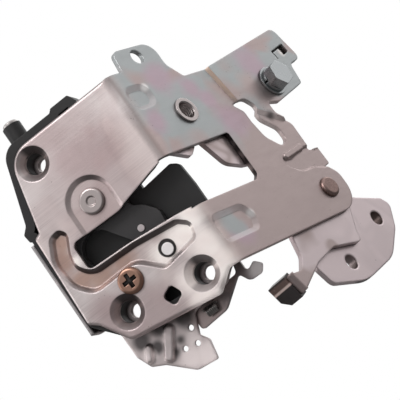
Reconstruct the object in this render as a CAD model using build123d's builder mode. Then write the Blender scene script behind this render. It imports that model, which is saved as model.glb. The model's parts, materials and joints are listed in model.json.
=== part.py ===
from build123d import *
from math import cos, radians, sin, tan
import os

# Sliding door lock. Sizes are in millimetres.
# X runs along the face plate towards the open end of the mouth, Z runs up
# along the fold and Y runs into the door. The face plate lies at Y = 0 and
# the sharp corner of the fold lies on the Z axis.

os.makedirs("parts", exist_ok=True)

# Folded sheet
sheet = 2.3
fold_angle = 62
fold_radius = 7.5
face_top = 44.8
face_left_top = -57.3
face_left_foot = -70.6
fold_foot = -54.6
stock_reach = 200
snug = 0.3
running = 0.05

# Mouth of the latch
mouth_top = -4.9
mouth_height = 13.8
mouth_end = -55.9
side_mouth_length = 47.7
side_mouth_top = 1.2
side_mouth_foot = -24.6

# Pressed forms
pocket_depth = 2.5
pocket_slope = 40
rivet_recess_depth = 1.3
rivet_recess_slope = 58
emboss_depth = 1.5
emboss_slope = 58
pad_depth = 1.0
pad_bead_place = (80.0, -19.0)
pad_bead_turn = 7
pad_bead_length = 17.5
pad_bead_width = 4.2
pad_bead_height = 0.8
pad_bead_slope = 25
arm_lift = 1.5
form_slope = 45

# Countersunk mounting points
dimple_radius = 8.05
dimple_hole = 5.0
dimple_depth = 3.0
dimple_lip = 0.9
mount_points = [(-49.7, 34.8), (-52.3, -43.5), (-15.4, -49.6)]
tapped_radius = 3.4
collar_wall = 1.9
collar_height = 2.5
rolled_edge = 1.5
ear_hole_place = (25.9, 50.0)
ear_hole = 3.65
square_hole_place = (-31.5, -49.5)
square_hole = 6.8
square_hole_turn = 25
square_hole_corner = 2.0
arm_window_place = (118.7, 30.8)
arm_window_length = 11.6
arm_window_height = 5.2
arm_turn = 12

# Cross-head screw in the face plate
screw_place = (-43.1, -33.5)
screw_radius = 3.0
screw_head_radius = 5.9
screw_head_height = 2.2
screw_cross = 6.8
screw_cross_width = 2.0
screw_cross_depth = 1.5
cross_taper = 12
screw_collar_wall = 1.7
screw_collar = 2.9

# Depth of the mechanism behind the face
mechanism_start = 6.0
steel_lever = 4.0
layer_gap = 0.6
floor_thickness = 3.4
back_sheet = 2.0

# Housing and back plate
housing_right = -17.8
housing_left = -70.9
housing_wall = 2.2
housing_lip = 4.4
lip_height = 2.2
housing_shoulder = 48.7
housing_post = 2.6
spring_floor = 0.8
inlet_place = -50.3
inlet_depth = 8.0
inlet_radius = 4.5
inlet_sink = 2.2
inlet_length = 10.3
ferrule_radius = 3.7
ferrule_length = 1.7
back_bend = 3.5
flange_edge = 0.9
flange_top = 6.0
flange_foot = -37.2
long_bead_place = (-48.6, -63.6)
long_bead_turn = 56
long_bead_length = 17.0
long_bead_width = 5.6
short_bead_place = (-58.8, -62.2)
short_bead_turn = 60
short_bead_length = 9.0
short_bead_width = 4.4
bead_height = 2.4
bead_slope = 24
bracket_hole_places = [(-36.8, -63.7), (-38.2, -70.9), (-44.2, -69.7)]
bracket_hole = 1.35

# Pivots in the face plate
claw_pivot = (-37.4, 5.1)
claw_pin_radius = 4.0
claw_head_radius = 5.8
claw_head_height = 1.9
pawl_pivot = (-22.0, -31.8)
pawl_pin_radius = 2.4
pawl_head_radius = 2.85
pawl_ring_radius = 3.6
pawl_ring_height = 0.5
rivet_tail = 1.4
claw_spring_radius = 6.6
claw_spring_wire = 0.6
pawl_spring_radius = 4.2
pawl_spring_wire = 0.4
spring_open_angle = 70
spring_opening = 40

# Claw and pawl
peg_place = (-27.4, -16.7)
peg_radius = 1.6
peg_stand = 0.5
claw_closed_angle = -55
claw_mouth = 16.6
claw_mouth_offset = 10.6
claw_reach = 34.2
pawl_start = 35.2
pawl_band = 5.2
pawl_hub = 4.8
pawl_end_angle = -110

# Levers behind the side plate
lever_sheet = 2.5
lever_gap = 0.3
lever_pivot = (86.3, -42.0)
lever_pin_radius = 3.5
bush_place = (31.8, 17.7)
bush_bore = 4.1
bush_barrel = 5.2
bush_flange = 6.2
bush_flange_height = 1.2
bush_chamfer = 0.5
lever_head_radius = 5.2
lever_head_height = 2.0
foot_length = 11.0
cap_wall = 1.0
cap_start = 3.2
cap_reach = 4.0
cap_corner = 4.2
cap_edge = 0.8
sector_hole_places = [(111.2, -64.3), (73.7, -77.2)]
sector_hole = 3.6
sector_collar_wall = 1.3
sector_collar = 2.8
release_spring_place = (-28.0, -62.6)
release_spring_length = 7.0
release_spring_radius = 2.0
release_spring_wire = 0.45

# Bolt on the arm
bolt_place = (97.5, 17.0)
bolt_radius = 4.0
bolt_across_flats = 12.0
bolt_head = 5.3
bolt_crown = 3
bolt_turn = 20
bolt_length = 14.0
nut_height = 6.0
flat_washer_radius = 7.7
flat_washer_height = 1.3
spring_washer_radius = 6.5
spring_washer_height = 1.6
spring_washer_split = 1.0

# Depths that follow from the sizes above
dimple_back = dimple_depth + sheet
mechanism_end = mechanism_start + steel_lever
floor_front = mechanism_end + layer_gap
floor_back = floor_front + floor_thickness
plate_back = floor_back + back_sheet
rear_lever_front = plate_back + layer_gap
upper_layer = sheet + lever_gap
upper_layer_end = upper_layer + lever_sheet
lower_layer = upper_layer_end + lever_gap
lower_layer_end = lower_layer + lever_sheet

fold = radians(fold_angle)
face = Plane(origin=(0, 0, 0), x_dir=(1, 0, 0), z_dir=(0, -1, 0))
side = Plane(origin=(0, 0, 0), x_dir=(cos(fold), sin(fold), 0), z_dir=(sin(fold), -cos(fold), 0))
inward_face = -face.z_dir
side_axis = Axis((0, 0, 0), side.z_dir)

# The part's own frame starts where the axis of the upper fixing hole meets
# the rear face of the back plate
to_frame = Location((-mount_points[0][0], -plate_back, -mount_points[0][1]))


def face_at(depth):
    """Plane parallel to the face plate, the given depth into the door."""
    return face.offset(-depth)


def side_at(depth):
    """Plane parallel to the side plate, the given depth behind it."""
    return side.offset(-depth)


def rounded(corners):
    """Closed outline from corners given as (along, up, corner radius)."""
    points = [(along, up) for along, up, radius in corners]
    radii = [radius for along, up, radius in corners]
    FilletPolyline(*points, radius=radii, close=True)


def save(piece, name):
    """Move a piece into the part's frame, label it and write its file."""
    placed = piece.part.moved(to_frame)
    placed.label = name
    export_step(placed, f"parts/{name}.step")


# Latch plate: one folded sheet with a face and a side
face_outline = [
    (3.0, face_top, 0),
    (face_left_top, face_top, 12),
    (-65.7, 8.5, 0.8),
    (-68.9, 7.4, 1.8),
    (face_left_foot, -37.5, 2.2),
    (-66.3, -41.0, 3),
    (-57.8, -54.6, 4),
    (-13.6, -61.6, 3.5),
    (-4.4, fold_foot, 3),
    (3.0, fold_foot, 0),
]
side_outline = [
    (0, face_top, 0),
    (11.4, face_top, 1.5),
    (13.1, 55.4, 3.5),
    (39.8, 55.4, 7),
    (39.6, 42.4, 5),
    (45.7, 34.3, 2.5),
    (61.8, 34.3, 4),
    (124.9, 44.2, 4),
    (129.9, 24.3, 3.2),
    (119.8, 22.9, 3),
    (118.0, 11.5, 2.4),
    (93.5, 6.3, 4),
    (84.7, 8.1, 2),
    (85.2, 1.6, 3),
    (92.6, -6.0, 4),
    (92.2, -21.2, 1.5),
    (99.5, -21.6, 0.8),
    (99.8, -31.0, 1.2),
    (94.8, -31.7, 0.5),
    (100.0, -37.0, 7),
    (100.0, -55.4, 12.4),
    (0, fold_foot, 0),
]
mouth_foot = mouth_top - mouth_height
face_mouth = [
    (mouth_end, mouth_top, 2.8),
    (-30.0, mouth_top - 0.6, 12),
    (-8.5, -0.8, 12),
    (3.0, side_mouth_top, 0),
    (3.0, side_mouth_foot, 0),
    (-10.4, -22.5, 12),
    (-33.7, mouth_foot - 1.2, 20),
    (mouth_end, mouth_foot, 2.8),
]
side_mouth = [
    (-1.0, side_mouth_top, 0),
    (side_mouth_length, side_mouth_top, 1.5),
    (side_mouth_length, -22.0, 1.5),
    (44.6, side_mouth_foot, 1.0),
    (-1.0, side_mouth_foot, 0),
]
leg_window = [
    (62.0, 13.4, 1.0),
    (71.5, 13.6, 4),
    (75.4, 9.0, 3),
    (74.2, 2.0, 5),
    (82.0, -5.5, 4.5),
    (82.2, -12.2, 3.5),
    (76.0, -14.8, 4),
    (69.0, -7.5, 7),
    (67.2, 2.0, 7),
    (67.2, 8.0, 3),
]
pocket_outline = [
    (-57.4, 4.4, 3),
    (-63.4, 3.5, 4.5),
    (-68.6, -7.0, 14),
    (-67.2, -20.6, 12),
    (-59.8, -29.0, 9),
    (-37.4, -28.7, 8),
    (-27.4, -38.8, 4.5),
    (-8.2, -36.2, 4),
    (-6.0, -28.6, 4.5),
    (-11.4, -23.8, 5),
    (-33.0, -20.6, 30),
    (-55.6, -19.6, 8),
    (-59.4, -13.4, 5),
    (-58.4, -7.6, 8),
    (-54.2, 0.4, 3.5),
]
rivet_recess = [
    (-49.5, -8.0, 0),
    (-49.5, 16.9, 11.5),
    (-26.2, 16.9, 11.5),
    (-26.2, -8.0, 0),
]
upper_emboss = [
    (3.6, 24.3, 5.5),
    (3.8, 37.1, 5.2),
    (19.2, 37.1, 6),
    (20.2, 25.0, 5.5),
]
lower_emboss = [
    (1.6, -31.4, 4.5),
    (25.8, -31.6, 6),
    (29.2, -39.4, 5),
    (26.6, -46.0, 4.5),
    (2.0, -46.0, 4),
]
arm_region = [
    (61.4, 60.0, 0),
    (61.8, 33.0, 8),
    (65.6, 11.0, 4),
    (73.5, 5.6, 3),
    (88.0, -3.4, 0),
    (140.0, -3.4, 0),
    (140.0, 60.0, 0),
]
pad_region = [
    (69.4, -16.4, 2),
    (74.8, -21.6, 4),
    (87.0, -18.6, 6),
    (92.2, -18.6, 3),
    (96.0, -21.0, 2),
    (106.0, -21.0, 0),
    (106.0, -32.6, 0),
    (95.0, -32.6, 2),
    (86.0, -30.2, 6),
    (77.5, -30.2, 7),
    (70.2, -25.0, 4),
]

with BuildPart() as outline_blank:
    with BuildSketch(face):
        with BuildLine():
            rounded(face_outline)
        make_face()
    extrude(amount=-4 * fold_radius)
    front_edges = outline_blank.edges().group_by(Axis.Y)[0]
    fillet(front_edges.sort_by(Axis.X)[:9], rolled_edge)
    with BuildSketch(side_at(-fold_radius)):
        with BuildLine():
            rounded(side_outline)
        make_face()
    extrude(amount=-3 * fold_radius)

with BuildPart() as latch_plate:
    inner_corner = -sheet * tan(fold / 2)
    stock_end = side.from_local_coords((stock_reach, 0, 0))
    stock_end_inside = side.from_local_coords((stock_reach, 0, -sheet))
    with BuildSketch(Plane.XY.offset(-stock_reach / 2)):
        with BuildLine():
            FilletPolyline(
                (-stock_reach, 0),
                (0, 0),
                (stock_end.X, stock_end.Y),
                (stock_end_inside.X, stock_end_inside.Y),
                (inner_corner, sheet),
                (-stock_reach, sheet),
                radius=[0, fold_radius, 0, 0, fold_radius - sheet, 0],
                close=True,
            )
        make_face()
    extrude(amount=stock_reach)
    for outline, plane, depth, slope in [
        (pocket_outline, face, pocket_depth, pocket_slope),
        (rivet_recess, face, rivet_recess_depth, rivet_recess_slope),
        (upper_emboss, side, emboss_depth, emboss_slope),
        (lower_emboss, side, emboss_depth, emboss_slope),
        (pad_region, side, pad_depth, form_slope),
    ]:
        inward = -plane.z_dir
        with BuildSketch(plane.offset(-sheet)) as form:
            with BuildLine():
                rounded(outline)
            make_face()
        extrude(amount=depth, dir=inward, taper=slope)
        with BuildSketch(plane) as form:
            with BuildLine():
                rounded(outline)
            make_face()
        extrude(amount=depth, dir=inward, taper=slope, mode=Mode.SUBTRACT)
    with BuildSketch(side_at(pad_depth)):
        with Locations(Location((*pad_bead_place, 0), (0, 0, pad_bead_turn))):
            SlotOverall(pad_bead_length, pad_bead_width)
    extrude(amount=pad_depth + pad_bead_height, taper=pad_bead_slope)
    with BuildSketch(side_at(sheet)):
        with BuildLine():
            rounded(arm_region)
        make_face()
    extrude(amount=arm_lift, taper=form_slope, mode=Mode.SUBTRACT)
    with BuildSketch(side):
        with BuildLine():
            rounded(arm_region)
        make_face()
    extrude(amount=arm_lift, taper=form_slope)
    add(outline_blank.part, mode=Mode.INTERSECT)
    with BuildSketch(face_at(sheet)):
        with Locations(*mount_points):
            Circle(dimple_radius + dimple_lip)
    extrude(amount=dimple_depth, dir=inward_face, taper=form_slope - 8)
    with BuildSketch(face):
        with Locations(*mount_points):
            Circle(dimple_radius)
    extrude(amount=dimple_depth, dir=inward_face, taper=form_slope, mode=Mode.SUBTRACT)
    with BuildSketch(face):
        with Locations(*mount_points):
            Circle(dimple_hole)
    extrude(amount=-dimple_back, mode=Mode.SUBTRACT)
    with BuildSketch(face_at(sheet)):
        with Locations(screw_place):
            Circle(screw_radius + screw_collar_wall)
    extrude(amount=-screw_collar)
    with BuildSketch(face):
        with Locations(screw_place):
            Circle(screw_radius)
        with Locations(claw_pivot):
            Circle(claw_pin_radius)
        with Locations(pawl_pivot):
            Circle(pawl_pin_radius)
        with Locations(Location((*square_hole_place, 0), (0, 0, square_hole_turn))):
            RectangleRounded(square_hole, square_hole, square_hole_corner)
        with BuildLine():
            rounded(face_mouth)
        make_face()
    extrude(amount=-mechanism_start, mode=Mode.SUBTRACT)
    with BuildSketch(side_at(-2 * arm_lift)):
        with BuildLine():
            rounded(side_mouth)
        make_face()
        with BuildLine():
            rounded(leg_window)
        make_face()
        with Locations(ear_hole_place):
            Circle(ear_hole)
        with Locations(bush_place):
            Circle(bush_barrel)
        with Locations(lever_pivot):
            Circle(lever_pin_radius)
        with Locations(bolt_place):
            Circle(bolt_radius)
        with Locations(Location((*arm_window_place, 0), (0, 0, arm_turn))):
            RectangleRounded(arm_window_length, arm_window_height, 0.6)
            with Locations((-arm_window_length / 5, -arm_window_height / 5)):
                Rectangle(arm_window_length / 2, arm_window_height, mode=Mode.SUBTRACT)
    extrude(amount=-4 * sheet, mode=Mode.SUBTRACT)
save(latch_plate, "latch_plate")

# Moulded housing behind the face plate
housing_floor_outline = [
    (housing_right, 46.2, 1),
    (-19.8, 50.2, 1),
    (-29.4, 50.2, 1),
    (-31.0, housing_shoulder, 1),
    (-58.5, housing_shoulder, 9),
    (-69.2, 15.0, 3),
    (-72.4, 12.0, 1.2),
    (-71.8, 7.9, 0.6),
    (housing_left, 7.5, 0.4),
    (housing_left, -38.5, 4),
    (-58.6, -52.8, 5),
    (-14.0, -57.4, 4),
    (-6.0, -53.4, 4),
    (0.6, -49.4, 3),
    (0.6, -28.0, 2),
    (2.4, -24.0, 2),
    (2.5, -14.0, 4),
    (1.8, -3.0, 3),
    (-1.6, -0.8, 2),
    (housing_right, -2.3, 0.5),
]
mouth_wall_top = -25.4
mouth_wall_right = -4.8
housing_wall_outline = housing_floor_outline[:12] + [
    (mouth_wall_right, -52.4, 3),
    (mouth_wall_right, mouth_wall_top, 1),
    (housing_right, mouth_wall_top, 1),
]
claw_way_left = -23.8
claw_way_step = -13.0
claw_way_right = 6.0
claw_way_top = 14.0
claw_way_foot = -31.0
claw_way = [
    (claw_way_left, claw_way_top, 1),
    (claw_way_right, claw_way_top, 0),
    (claw_way_right, mouth_wall_top, 0),
    (claw_way_step, mouth_wall_top, 0),
    (claw_way_step, claw_way_foot, 0),
    (claw_way_left, claw_way_foot, 1),
]
inlet_base = housing_shoulder - inlet_sink

with BuildPart() as housing:
    with BuildSketch(face_at(floor_back)):
        with BuildLine():
            rounded(housing_floor_outline)
        make_face()
    extrude(amount=floor_thickness)
    with BuildSketch(face_at(floor_front)):
        with BuildLine():
            rounded(housing_wall_outline)
        make_face()
        offset(amount=-housing_wall, kind=Kind.INTERSECTION, mode=Mode.SUBTRACT)
    extrude(amount=floor_front - sheet)
    with BuildSketch(face_at(sheet + lip_height)):
        with BuildLine():
            rounded(housing_wall_outline)
        make_face()
        offset(amount=-housing_lip, kind=Kind.INTERSECTION, mode=Mode.SUBTRACT)
    extrude(amount=lip_height)
    with BuildSketch(face_at(floor_front)):
        with BuildLine():
            rounded(claw_way)
        make_face()
    extrude(amount=floor_front, mode=Mode.SUBTRACT)
    with BuildSketch(face_at(sheet)):
        with BuildLine():
            rounded(pocket_outline)
        make_face()
        offset(amount=snug)
    extrude(amount=-pocket_depth - snug, mode=Mode.SUBTRACT)
    with BuildSketch(face_at(sheet)):
        with Locations(*mount_points):
            Circle(dimple_radius + dimple_lip + snug)
    extrude(amount=-dimple_depth, mode=Mode.SUBTRACT)
    with BuildSketch(face_at(floor_back)):
        with Locations(*mount_points):
            Circle(dimple_hole + housing_post)
    extrude(amount=floor_back - dimple_back)
    with BuildSketch(face_at(floor_back)):
        with Locations(*mount_points):
            Circle(dimple_hole)
        with Locations(claw_pivot):
            Circle(claw_pin_radius)
        with Locations(pawl_pivot):
            Circle(pawl_pin_radius)
    extrude(amount=floor_back, mode=Mode.SUBTRACT)
    with BuildSketch(face_at(floor_back - spring_floor)):
        with Locations(claw_pivot):
            Circle(claw_spring_radius + claw_spring_wire + layer_gap)
        with Locations(pawl_pivot):
            Circle(pawl_spring_radius + pawl_spring_wire + layer_gap)
    extrude(amount=floor_thickness - spring_floor, mode=Mode.SUBTRACT)
    with BuildSketch(Plane.XY.offset(inlet_base)):
        with Locations((inlet_place, inlet_depth)):
            Circle(inlet_radius)
    extrude(amount=inlet_length)
    with BuildSketch(Plane.XY.offset(flange_top)):
        Polygon(
            (housing_left, floor_back),
            (housing_left + 2 * back_bend - 2 * back_sheet, floor_back),
            (housing_left, floor_back - 2 * back_bend + 2 * back_sheet),
            align=None,
        )
    extrude(amount=-stock_reach, mode=Mode.SUBTRACT)
save(housing, "housing")

with BuildPart() as inlet_ferrule:
    with BuildSketch(Plane.XY.offset(inlet_base + inlet_length)):
        with Locations((inlet_place, inlet_depth)):
            Circle(ferrule_radius)
    extrude(amount=ferrule_length)
    chamfer(inlet_ferrule.faces().sort_by(Axis.Z)[-1].edges(), ferrule_length / 3)
save(inlet_ferrule, "inlet_ferrule")

# Steel plate behind the housing, with the side flange and the lower bracket
back_right = housing_right - 1.4
back_outline = [
    (back_right, 44.0, 2),
    (-57.0, 45.0, 9),
    (-66.6, 12.0, 3),
    (-66.6, flange_top, 1),
    (-stock_reach, flange_top, 0),
    (-stock_reach, flange_foot, 0),
    (-68.0, -42.0, 3),
    (-64.8, -48.0, 3),
    (-64.6, -60.2, 2),
    (-61.4, -67.4, 2),
    (-55.5, -70.4, 3),
    (-45.0, -80.4, 3),
    (-34.6, -81.6, 1),
    (-32.8, -72.4, 2),
    (-35.4, -68.4, 1),
    (-31.4, -59.0, 3),
    (-12.0, -57.6, 4),
    (-3.0, -50.0, 4),
    (-3.0, -4.0, 4),
    (back_right, -4.0, 1),
]

with BuildPart() as back_plate:
    with BuildSketch(Plane.XY.offset(-stock_reach / 2)):
        with BuildLine():
            FilletPolyline(
                (housing_left - back_sheet, sheet),
                (housing_left - back_sheet, plate_back),
                (stock_reach, plate_back),
                (stock_reach, floor_back),
                (housing_left, floor_back),
                (housing_left, sheet),
                radius=[0, back_bend, 0, 0, back_bend - back_sheet, 0],
                close=True,
            )
        make_face()
    extrude(amount=stock_reach)
    with BuildSketch(face):
        with BuildLine():
            rounded(back_outline)
        make_face()
    extrude(amount=-2 * plate_back, mode=Mode.INTERSECT)
    upright_edges = back_plate.edges().filter_by(Axis.Z)
    fillet(upright_edges.group_by(Axis.Y)[0], flange_edge)
    for place, turn, length, width in [
        (long_bead_place, long_bead_turn, long_bead_length, long_bead_width),
        (short_bead_place, short_bead_turn, short_bead_length, short_bead_width),
    ]:
        with BuildSketch(face_at(floor_back)):
            with Locations(Location((*place, 0), (0, 0, turn))):
                SlotOverall(length, width)
        extrude(amount=bead_height, taper=bead_slope)
        with BuildSketch(face_at(plate_back)):
            with Locations(Location((*place, 0), (0, 0, turn))):
                SlotOverall(length - back_sheet, width - back_sheet)
        extrude(amount=bead_height, taper=bead_slope, mode=Mode.SUBTRACT)
    with BuildSketch(face_at(floor_back)):
        with Locations(*mount_points):
            Circle(tapped_radius + collar_wall)
    extrude(amount=-back_sheet - collar_height)
    with BuildSketch(face_at(floor_back)):
        with Locations(*mount_points):
            Circle(tapped_radius)
        with Locations(*bracket_hole_places):
            Circle(bracket_hole)
        with Locations(claw_pivot):
            Circle(claw_pin_radius)
        with Locations(pawl_pivot):
            Circle(pawl_pin_radius)
    extrude(amount=-back_sheet - collar_height, mode=Mode.SUBTRACT)
save(back_plate, "back_plate")

# Claw, drawn along the direction of its mouth
claw_angle = radians(claw_closed_angle)
claw_plane = Plane(
    origin=(claw_pivot[0], mechanism_end, claw_pivot[1]),
    x_dir=(cos(claw_angle), 0, sin(claw_angle)),
    z_dir=(0, -1, 0),
)
near_wall = -claw_mouth_offset
far_wall = near_wall - claw_mouth
claw_root = 0.499 * claw_mouth
claw_outline = [
    (0, near_wall, claw_root),
    (25.0, near_wall, 2.5),
    (30.5, -7.5, 3),
    (claw_reach, 1.0, 3),
    (28.5, 6.0, 5),
    (20.8, 5.6, 6),
    (13.2, 2.0, 4),
    (11.0, 11.0, 9.5),
    (-11.0, 11.0, 9.5),
    (-11.0, -6.0, 5),
    (-9.6, -14.0, 8),
    (-11.6, -28.0, 3),
    (5.7, -32.2, 15),
    (11.5, -32.2, 4),
    (18.8, -28.6, 0.8),
    (16.4, far_wall, 0.8),
    (0, far_wall, claw_root),
]

with BuildPart() as claw:
    with BuildSketch(claw_plane):
        with BuildLine():
            rounded(claw_outline)
        make_face()
        Circle(claw_pin_radius + running, mode=Mode.SUBTRACT)
    extrude(amount=steel_lever)
    with BuildSketch(face_at(mechanism_end)):
        with Locations(peg_place):
            Circle(peg_radius)
    extrude(amount=steel_lever, mode=Mode.SUBTRACT)
save(claw, "claw")

with BuildPart() as claw_peg:
    with BuildSketch(face_at(mechanism_end)):
        with Locations(peg_place):
            Circle(peg_radius)
    extrude(amount=steel_lever + peg_stand)
save(claw_peg, "claw_peg")

# Pawl: a band about the claw pivot with a hub on its own pin
pawl_end = radians(pawl_end_angle)
wedge_reach = 2 * (pawl_start + pawl_band)
with BuildPart() as pawl:
    with BuildSketch(face_at(mechanism_end)):
        with Locations(claw_pivot):
            Circle(pawl_start + pawl_band)
            Circle(pawl_start, mode=Mode.SUBTRACT)
            Polygon(
                (0, 0),
                (wedge_reach * cos(pawl_end), wedge_reach * sin(pawl_end)),
                (pawl_pivot[0] - claw_pivot[0], -wedge_reach),
                (2 * (pawl_pivot[0] - claw_pivot[0]), 2 * (pawl_pivot[1] - claw_pivot[1])),
                align=None,
                mode=Mode.INTERSECT,
            )
        with Locations(pawl_pivot):
            Circle(pawl_hub)
            Circle(pawl_pin_radius + running, mode=Mode.SUBTRACT)
    extrude(amount=steel_lever)
save(pawl, "pawl")

# Riveted pins of the claw and the pawl
with BuildPart() as claw_pin:
    with BuildSketch(face_at(rivet_recess_depth)):
        with Locations(claw_pivot):
            Circle(claw_head_radius)
    extrude(amount=claw_head_height)
    fillet(claw_pin.edges().group_by(Axis.Y)[0], claw_head_height / 2)
    with BuildSketch(face_at(rivet_recess_depth - claw_head_height)):
        with Locations(claw_pivot):
            Circle(claw_head_radius / 2.4)
    extrude(amount=claw_head_height / 3, dir=inward_face, taper=form_slope, mode=Mode.SUBTRACT)
    with BuildSketch(face_at(plate_back + rivet_tail)):
        with Locations(claw_pivot):
            Circle(claw_pin_radius + rivet_tail)
    extrude(amount=rivet_tail)
    with BuildSketch(face_at(plate_back)):
        with Locations(claw_pivot):
            Circle(claw_pin_radius)
    extrude(amount=plate_back - rivet_recess_depth)
save(claw_pin, "claw_pin")

release_back = rear_lever_front + lever_sheet
with BuildPart() as pawl_pin:
    with BuildSketch(face_at(pocket_depth)):
        with Locations(pawl_pivot):
            Circle(pawl_ring_radius)
    extrude(amount=pawl_ring_height)
    with BuildSketch(face_at(pocket_depth - pawl_ring_height)):
        with Locations(pawl_pivot):
            Circle(pawl_head_radius)
    extrude(amount=pawl_ring_height)
    fillet(pawl_pin.edges().group_by(Axis.Y)[0], pawl_ring_height / 2)
    with BuildSketch(face_at(release_back + running)):
        with Locations(pawl_pivot):
            Circle(pawl_pin_radius)
    extrude(amount=release_back + running - pocket_depth)
    with BuildSketch(face_at(release_back + running + rivet_tail)):
        with Locations(pawl_pivot):
            Circle(pawl_pin_radius + rivet_tail)
    extrude(amount=rivet_tail)
save(pawl_pin, "pawl_pin")

# Open ring springs lying in the housing floor about the two pins
for name, place, radius, wire in [
    ("claw_spring", claw_pivot, claw_spring_radius, claw_spring_wire),
    ("pawl_spring", pawl_pivot, pawl_spring_radius, pawl_spring_wire),
]:
    spring_middle = floor_front + (floor_thickness - spring_floor) / 2
    with BuildPart() as spring:
        with BuildLine(face_at(spring_middle)) as ring:
            CenterArc(place, radius, spring_open_angle, 360 - spring_opening)
        with BuildSketch(Plane(origin=ring.line @ 0, z_dir=ring.line % 0)):
            RegularPolygon(wire, 6)
        sweep()
    save(spring, name)

# Cross-head screw
with BuildPart() as face_screw:
    with BuildSketch(face):
        with Locations(screw_place):
            Circle(screw_head_radius)
    extrude(amount=screw_head_height)
    fillet(face_screw.edges().group_by(Axis.Y)[0], screw_head_height * 0.7)
    with BuildSketch(face_at(-screw_head_height)):
        with Locations(screw_place):
            Rectangle(screw_cross, screw_cross_width)
            Rectangle(screw_cross_width, screw_cross)
    extrude(amount=screw_cross_depth, dir=inward_face, taper=cross_taper, mode=Mode.SUBTRACT)
    with BuildSketch(face_at(sheet + screw_collar)):
        with Locations(screw_place):
            Circle(screw_radius)
    extrude(amount=sheet + screw_collar)
save(face_screw, "face_screw")

# Release lever on the rear end of the pawl pin, with its curled hook
release_outline = [
    (-28.5, -26.0, 5),
    (-16.0, -26.0, 5),
    (-16.6, -37.5, 4),
    (-22.8, -42.5, 4),
    (-23.4, -57.0, 3),
    (-6.8, -56.2, 2),
    (-5.4, -50.4, 1),
    (-2.6, -50.4, 1),
    (-2.6, -58.6, 1.6),
    (2.4, -56.2, 1),
    (5.2, -59.2, 1.2),
    (2.6, -62.6, 2.5),
    (-3.6, -62.4, 2.5),
    (-6.4, -57.0, 1.5),
    (-19.6, -66.4, 6),
    (-33.6, -67.4, 1.5),
    (-34.2, -56.0, 4),
    (-29.4, -44.0, 6),
]
with BuildPart() as release_lever:
    with BuildSketch(face_at(release_back)):
        with BuildLine():
            rounded(release_outline)
        make_face()
        with Locations(pawl_pivot):
            Circle(pawl_pin_radius + running, mode=Mode.SUBTRACT)
    extrude(amount=lever_sheet)
save(release_lever, "release_lever")

release_spring_start = (release_spring_place[0], rear_lever_front - release_spring_radius
                        - release_spring_wire, release_spring_place[1])
with BuildPart() as release_spring:
    with BuildLine() as coil:
        Helix(release_spring_length / 5, release_spring_length, release_spring_radius,
              center=release_spring_start, direction=(1, 0, 0))
    with BuildSketch(Plane(origin=coil.line @ 0, z_dir=coil.line % 0)):
        RegularPolygon(release_spring_wire, 6)
    sweep(is_frenet=True)
save(release_spring, "release_spring")

# Sector lever, the lowest of the two on the lever rivet
sector_outline = [
    (80.0, -28.0, 8),
    (98.0, -30.0, 8),
    (103.7, -49.7, 5),
    (123.4, -56.4, 2.5),
    (127.2, -61.0, 3.5),
    (119.2, -72.6, 12),
    (103.0, -84.4, 22),
    (76.0, -88.4, 28),
    (53.2, -82.2, 5),
    (49.6, -71.8, 3),
    (70.0, -50.0, 6),
]
with BuildPart() as sector_lever:
    with BuildSketch(side_at(lower_layer_end)):
        with BuildLine():
            rounded(sector_outline)
        make_face()
        with Locations(lever_pivot):
            Circle(lever_pin_radius + running, mode=Mode.SUBTRACT)
    extrude(amount=lever_sheet)
    with BuildSketch(side_at(lower_layer_end)):
        with Locations(*sector_hole_places):
            Circle(sector_hole + sector_collar_wall)
    extrude(amount=-sector_collar)
    with BuildSketch(side_at(lower_layer)):
        with Locations(*sector_hole_places):
            Circle(sector_hole)
    extrude(amount=-lever_sheet - sector_collar, mode=Mode.SUBTRACT)
    hole_edges = sector_lever.edges().group_by(side_axis)[-1].filter_by(GeomType.CIRCLE)
    fillet(hole_edges.filter_by(lambda edge: abs(edge.radius - sector_hole) < running), sector_collar_wall / 2)
save(sector_lever, "sector_lever")

# Bell lever, between the side plate and the sector, with a folded foot
foot_low = (30.2, -79.2)
foot_high = (27.5, -69.6)
bell_outline = [
    (78.0, -33.4, 6),
    (97.2, -33.6, 7),
    (98.0, -48.0, 6),
    (87.6, -65.6, 3),
    (85.8, -71.2, 2),
    (66.0, -67.6, 6),
    (50.0, -70.6, 6),
    (*foot_low, 0),
    (*foot_high, 0),
    (36.4, -70.4, 3),
    (42.2, -64.6, 5),
    (46.4, -49.0, 10),
    (62.0, -36.0, 8),
]
foot_along = (Vector(*foot_high) - Vector(*foot_low)).normalized()
foot_across = Vector(foot_along.Y, -foot_along.X)
foot_centre = (Vector(*foot_high) + Vector(*foot_low)) / 2
foot_middle = side.from_local_coords((foot_centre.X, foot_centre.Y, -upper_layer))
foot_strip = [
    foot_low,
    foot_high,
    Vector(*foot_high) + foot_across * lever_sheet,
    Vector(*foot_low) + foot_across * lever_sheet,
]
with BuildPart() as bell_lever:
    with BuildSketch(side_at(upper_layer_end)):
        with BuildLine():
            rounded(bell_outline)
        make_face()
        with Locations(lever_pivot):
            Circle(lever_pin_radius + running, mode=Mode.SUBTRACT)
    extrude(amount=lever_sheet)
    with BuildSketch(side_at(upper_layer)):
        Polygon(*foot_strip, align=None)
    extrude(amount=-foot_length)
    outer_edges = bell_lever.edges().group_by(side_axis)[-1]
    fillet(outer_edges.sort_by_distance(foot_middle)[0], 0.9 * lever_sheet)
save(bell_lever, "bell_lever")

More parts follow.
